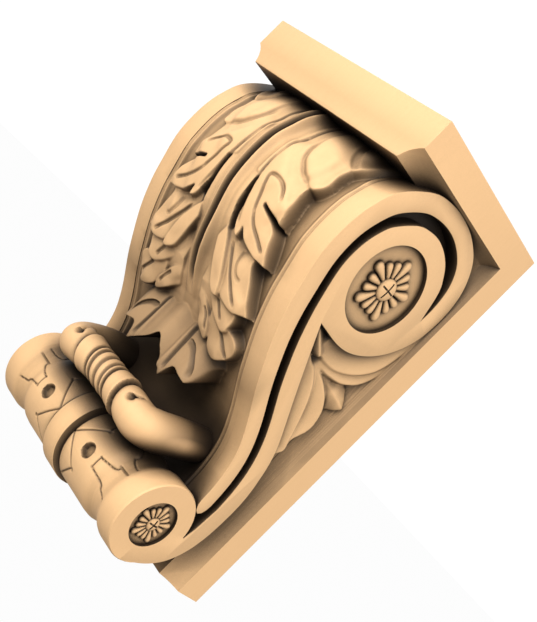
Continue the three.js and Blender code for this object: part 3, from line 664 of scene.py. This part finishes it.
# Half flower: petals that spread from a knot in the sunk panel between volute and band, two over
# each other on each side, with a ridged leaf between them and a small one above.
FLOWER_CELL = 0.9
FLOWER_BASE = 70.0
PETAL_RIM = 91.8
PETAL_FALL = 0.16
PETAL_DIP = 3.5
KNOT = (-82, 11)
KNOT_DEPTH = 4.5
KNOT_RADIUS = 2.4
PETALS_LAID = [
    (1.4, [(-84, 10), (-74, 7.5), (-62, 7.4), (-52, 8.6), (-44.5, 11.4), (-38, 14.8), (-33, 19.4),
    (-29, 25.5), (-26, 33), (-25.4, 42), (-24.6, 52), (-24, 64), (-40, 66), (-60, 50), (-84, 24)]),
    (0.2, [(-87, 14), (-82, 12.6), (-74.9, 12.1), (-66.1, 12.4), (-58.4, 14.4), (-50.6, 17.9),
    (-44, 21.9), (-37.6, 27.2), (-32.4, 33.4), (-28.6, 41.9), (-26, 52), (-24.4, 64), (-24, 76),
    (-45, 74), (-70, 46), (-88, 30), (-89.4, 21)]), (1.4, [(-80, 9), (-74.3, 8), (-66, 5.9),
    (-57.4, 2.2), (-50, -2.3), (-45.2, -6.4), (-41.8, -10.2), (-39.2, -15.5), (-37.6, -21.4),
    (-38, -28.2), (-40.6, -33.6), (-43.4, -39), (-44, -48), (-60, -52), (-84, -20)]),
    (0.2, [(-92, 10.6), (-84.9, 9.3), (-78, 6.2), (-71.4, 1.4), (-66.1, -4.3), (-60.2, -13),
    (-54.8, -22.4), (-50.4, -31.2), (-46.6, -40), (-43.6, -50), (-64, -58), (-96, -16), (-104, 4)])]
RIDGED_LEAF = [(-80, 11), (-72.2, 8.6), (-61.5, 4), (-51.5, -1), (-45, -5.6), (-38.8, -10.4),
               (-38.8, -10.4), (-33.4, -7), (-28.4, -1.2), (-28.4, -1.2), (-31, 4.4), (-34.4, 8.4),
               (-38, 11.6), (-60, 14)]
RIDGED_HEIGHTS = [(-45, -5, 86), (-39, -9, 85.6), (-31, -4, 87.6), (-32, 5, 87), (-40, 10, 86),
                  (-60, 3, 83), (-60, 9, 83)]
RIDGE_LINE = [(-74, 9.2), (-59.4, 5.6), (-43.8, 2), (-30, -0.8)]
RIDGE_RISE = 3.2
RIDGE_REACH = 9
SMALL_LEAF = [(-80.6, 11.4), (-80.6, 11.4), (-86.5, 10.8), (-93.4, 11.6), (-93.4, 11.6),
              (-100, 17), (-107, 26), (-107, 26), (-97, 30), (-88, 27), (-83, 22), (-80, 16)]
SMALL_RIDGE = [(-106, 26), (-94.5, 18.8), (-84, 12.2)]
SMALL_CREST = 91.6
SMALL_SLOPE = 0.75


def combine(target, others, operation):
    for other in others:
        modifier = target.modifiers.new("carve", "BOOLEAN")
        modifier.operation = operation
        modifier.solver = "MANIFOLD"
        modifier.object = other
        deselect()
        bpy.context.view_layer.objects.active = target
        bpy.ops.object.modifier_apply(modifier=modifier.name)
        bpy.data.objects.remove(other, do_unlink=True)


mask_line = groove_inner[groove_inner[:, 1].argmax():] + [3, 0]
mask_outline = np.vstack([mask_line, [(-20, mask_line[-1][1]), (-20, mask_line[0][1])]])
panel_y = np.arange(-112, -23.4, FLOWER_CELL)
panel_z = np.arange(-100, 84, FLOWER_CELL)
PY, PZ = np.meshgrid(panel_y, panel_z)
cove_x, cove_y = plate_cove.T
relief_x = np.interp(PY, cove_y[::-1], cove_x[::-1]) - 0.4
ridge_gap, _ = off_line(np.array(RIDGE_LINE), PY, PZ)
ridged = blend_heights(RIDGED_HEIGHTS, PY, PZ) + RIDGE_RISE * np.clip(1 - ridge_gap / RIDGE_REACH, 0, 1)
relief_x = lay(relief_x, RIDGED_LEAF, ridged, edge=1.8, roundness=0, x=PY, y=PZ)
knot_gap = np.hypot(PY - KNOT[0], PZ - KNOT[1])
for drop, outline in PETALS_LAID:
    inside = depth_in(smooth(outline, 5, closed=True), PY, PZ)
    petal = (PETAL_RIM - drop - PETAL_FALL * np.clip(inside, 0, 30)
             - PETAL_DIP * np.exp(-(knot_gap / 22) ** 2))
    relief_x = lay(relief_x, outline, petal, edge=1.8, roundness=0.6, x=PY, y=PZ)
small_gap, _ = off_line(np.array(SMALL_RIDGE), PY, PZ)
small_height = SMALL_CREST - SMALL_SLOPE * small_gap
relief_x = lay(relief_x, SMALL_LEAF, small_height, edge=1.6, roundness=0, x=PY, y=PZ)
relief_x = relief_x - KNOT_DEPTH * np.exp(-(knot_gap / KNOT_RADIUS) ** 2)
blur(relief_x)
for side in (-1, 1):
    flower_places = np.stack([side * relief_x, PY, PZ], axis=-1)
    flower_bed = carved_bed("half_flower", flower_places, 0, side * FLOWER_BASE)
    deselect()
    carved.append(flower_bed)
    combine(flower_bed, [plate("panel_mask", mask_outline, 0, side * 65, side * 97)], "INTERSECT")
    carved.pop()

# Corbel: all of this is one block of wood, so the shapes are joined into one closed skin.
TRIANGLES = 190000
loose = [piece for piece in carved if piece not in flowers]
corbel = loose[0]
combine(corbel, loose[1:], "UNION")
combine(corbel, recesses, "DIFFERENCE")
flower = flowers[0]
combine(flower, flowers[1:], "UNION")
combine(flower, crosses, "DIFFERENCE")
combine(corbel, [flower], "UNION")
corbel.name = "leaf_corbel_carving"
triangles = sum(len(face.vertices) - 2 for face in corbel.data.polygons)
if triangles > TRIANGLES:
    thin = corbel.modifiers.new("thin", "DECIMATE")
    thin.ratio = TRIANGLES / triangles
    bpy.context.view_layer.objects.active = corbel
    bpy.ops.object.modifier_apply(modifier=thin.name)
corbel.select_set(True)
bpy.context.view_layer.objects.active = corbel
bpy.ops.object.shade_smooth_by_angle(angle=math.radians(42))
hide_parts("leaf_corbel")
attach(corbel, "root")


class Socket:
    """A shader value: arithmetic on it adds Math nodes."""

    def __init__(self, tree, output):
        self.tree = tree
        self.output = output

    def node(self, kind, settings=None, **inputs):
        made = self.tree.nodes.new(kind)
        for key, value in (settings or {}).items():
            setattr(made, key, value)
        for key, value in inputs.items():
            socket = made.inputs[int(key[1:]) if key[1:].isdigit() else key.replace("_", " ")]
            if isinstance(value, Socket):
                self.tree.links.new(value.output, socket)
            else:
                socket.default_value = value
        return made

    def maths(self, operation, other, swap=False):
        pair = {"i1": self, "i0": other} if swap else {"i0": self, "i1": other}
        made = self.node("ShaderNodeMath", {"operation": operation}, **pair)
        return Socket(self.tree, made.outputs[0])

    def __add__(self, other):
        return self.maths("ADD", other)

    def __mul__(self, other):
        return self.maths("MULTIPLY", other)

    def __rsub__(self, other):
        return self.maths("SUBTRACT", other, swap=True)

    def __pow__(self, other):
        return self.maths("POWER", other)

    __radd__ = __add__
    __rmul__ = __mul__


WOOD = (0.83, 0.52, 0.262, 1)
OLDER_WOOD = (0.74, 0.445, 0.21, 1)
SHADOWED = (0.012, 0.0065, 0.003, 1)
CAVITY_REACH = 0.022
SHELTER_REACH = 0.18
wood = bpy.data.materials.new("carved pale wood")
wood.use_nodes = True
tree = wood.node_tree
shader = tree.nodes["Principled BSDF"]
maker = Socket(tree, None)
coordinates = Socket(tree, maker.node("ShaderNodeTexCoord").outputs["Object"])
stretch = maker.node("ShaderNodeMapping", Vector=coordinates, Scale=(90, 90, 9))
grain = Socket(tree, maker.node("ShaderNodeTexNoise", Vector=Socket(tree, stretch.outputs[0]),
                                Scale=5.0, Detail=3.0).outputs["Fac"])
speck = Socket(tree, maker.node("ShaderNodeTexNoise", Vector=coordinates, Scale=900.0,
                                Detail=2.0).outputs["Fac"])


def open_share(reach):
    """How open a place is to the light: 1 on an open face, near 0 at the bottom of a cut."""
    return Socket(tree, maker.node("ShaderNodeAmbientOcclusion", {"samples": 12, "only_local": True},
                                   Distance=reach).outputs["AO"])


spread = maker.node("ShaderNodeSeparateXYZ", i0=coordinates)
width_here, depth_here, height_here = (Socket(tree, spread.outputs[k]) for k in range(3))


def ramp(value, start, end):
    """0 where the value is at the start, 1 where it is at the end, and even between them."""
    return Socket(tree, maker.node("ShaderNodeMapRange", {"clamp": True}, i0=value, i1=start * MM,
                                   i2=end * MM).outputs[0])


# Painted shade: the leaf's hanging tip is darkened in its colour, standing in for the shade it hangs in
# under the lobes
TIP_PAINTED_SHADE = 0.36
tip_painted_shade = ramp(depth_here, -94, -106) * ramp(height_here, -14, -36) * ramp(height_here, -80, -74)
# Painted shade: the hollow round the yoke's arms is darkened in its colour, standing in for the shade
# in its deep cut
HOLLOW_PAINTED_SHADE = 0.72
off_middle = (width_here * width_here) ** 0.5
in_depth = ramp(depth_here, -121, -90) * ramp(depth_here, -28, -36)
in_height = ramp(height_here, -38, -66) * ramp(height_here, -120, -104)
hollow_painted_shade = in_depth * in_height * ramp(off_middle, 71.5, 69.5)
# Painted shade: the base colour is darkened towards SHADOWED by ambient occlusion in cuts, hollows and
# under overhangs, and further by the painted shade at the leaf's tip and round the yoke's arms
lit = (open_share(CAVITY_REACH) ** 3.0 * open_share(SHELTER_REACH) ** 1.6 * (1 - tip_painted_shade * TIP_PAINTED_SHADE)
       * (1 - hollow_painted_shade * HOLLOW_PAINTED_SHADE))
light_wood = maker.node("ShaderNodeMix", {"data_type": "RGBA"}, i0=grain * 0.35 + speck * 0.25, i6=WOOD,
                        i7=OLDER_WOOD)
deep = maker.node("ShaderNodeMix", {"data_type": "RGBA"}, i0=lit, i6=SHADOWED,
                  i7=Socket(tree, light_wood.outputs[2]))
tree.links.new(deep.outputs[2], shader.inputs["Base Color"])
shader.inputs["Roughness"].default_value = 0.6
shader.inputs["Specular IOR Level"].default_value = 0.25
bump = maker.node("ShaderNodeBump", Strength=0.12, Distance=0.0003, Height=speck)
tree.links.new(bump.outputs[0], shader.inputs["Normal"])
corbel.data.materials.clear()
corbel.data.materials.append(wood)

# Floor: a plain pale floor well below the corbel, which hangs on a wall.
FLOOR_DROP = 0.45
deselect()
bpy.ops.mesh.primitive_plane_add(size=30, location=(0, 0, cad_low.z - FLOOR_DROP))
floor = bpy.context.object
floor.name = "floor"
pale = bpy.data.materials.new("pale floor")
pale.use_nodes = True
pale_floor = Socket(pale.node_tree, None)
matt = pale.node_tree.nodes["Principled BSDF"]
matt.inputs["Base Color"].default_value = (0.28, 0.28, 0.28, 1)
matt.inputs["Roughness"].default_value = 0.9
white = pale_floor.node("ShaderNodeEmission", Color=(1, 1, 1, 1), Strength=0.98)
seen = Socket(pale.node_tree, pale_floor.node("ShaderNodeLightPath").outputs["Is Camera Ray"])
whiter = pale_floor.node("ShaderNodeMixShader", i0=seen, i1=Socket(pale.node_tree, matt.outputs[0]),
                         i2=Socket(pale.node_tree, white.outputs[0]))
pale.node_tree.links.new(whiter.outputs[0], pale.node_tree.nodes["Material Output"].inputs["Surface"])
floor.data.materials.append(pale)

# Light: a big soft lamp in front and above, a weaker one from the right, and a white surround that
# is brightest overhead and dim below.
world = bpy.data.worlds.new("white surround")
bpy.context.scene.world = world
world.use_nodes = True
surround = Socket(world.node_tree, None)
background = world.node_tree.nodes["Background"]
background.inputs["Color"].default_value = (1, 1, 1, 1)
seen = Socket(world.node_tree, surround.node("ShaderNodeLightPath").outputs["Is Camera Ray"])
OVERHEAD = 1.22
BELOW = 0.2
sky_way = Socket(world.node_tree, surround.node("ShaderNodeTexCoord").outputs["Generated"])
height_of_ray = Socket(world.node_tree, surround.node("ShaderNodeSeparateXYZ", i0=sky_way).outputs[2])
above = Socket(world.node_tree, surround.node(
    "ShaderNodeMath", {"operation": "MULTIPLY_ADD", "use_clamp": True}, i0=height_of_ray, i1=2.0,
    i2=0.4).outputs[0])
glow = above * (OVERHEAD - BELOW) + BELOW
world.node_tree.links.new((seen * 1.05 + (1 - seen) * glow).output, background.inputs["Strength"])


def lamp(name, place, size, power, target=(0, -0.09, 0)):
    deselect()
    bpy.ops.object.light_add(type="AREA", location=place)
    light = bpy.context.object
    light.name = name
    light.data.size = size
    light.data.energy = power
    light.rotation_euler = (Vector(target) - Vector(place)).to_track_quat("-Z", "Y").to_euler()


lamp("key", (0.3, -1.5, 0.62), 0.8, 18)
lamp("fill", (1.5, -0.5, 0.6), 0.9, 6.3)

# Camera: the photograph's, which looks level at the corner and is rolled over to the left.
AZIMUTH = math.radians(44.37)
ELEVATION = math.radians(-0.92)
ROLL = math.radians(45.09)
CAMERA_PLACE = (541.77 * MM, -608.34 * MM, -0.65 * MM)
LENS = 62.73
SENSOR_HEIGHT = 36
back = Vector((math.sin(AZIMUTH) * math.cos(ELEVATION), -math.cos(AZIMUTH) * math.cos(ELEVATION),
               math.sin(ELEVATION)))
level = Vector((math.cos(AZIMUTH), math.sin(AZIMUTH), 0))
upright = back.cross(level)
right = level * math.cos(ROLL) + upright * math.sin(ROLL)
up = upright * math.cos(ROLL) - level * math.sin(ROLL)
deselect()
bpy.ops.object.camera_add(location=CAMERA_PLACE)
camera = bpy.context.object
camera.matrix_world = Matrix.Translation(CAMERA_PLACE) @ Matrix((right, up, back)).transposed().to_4x4()
camera.data.sensor_fit = "VERTICAL"
camera.data.sensor_height = SENSOR_HEIGHT
camera.data.lens = LENS
camera.data.clip_start = 0.01
bpy.context.scene.camera = camera
bpy.context.scene.view_settings.view_transform = "Standard"
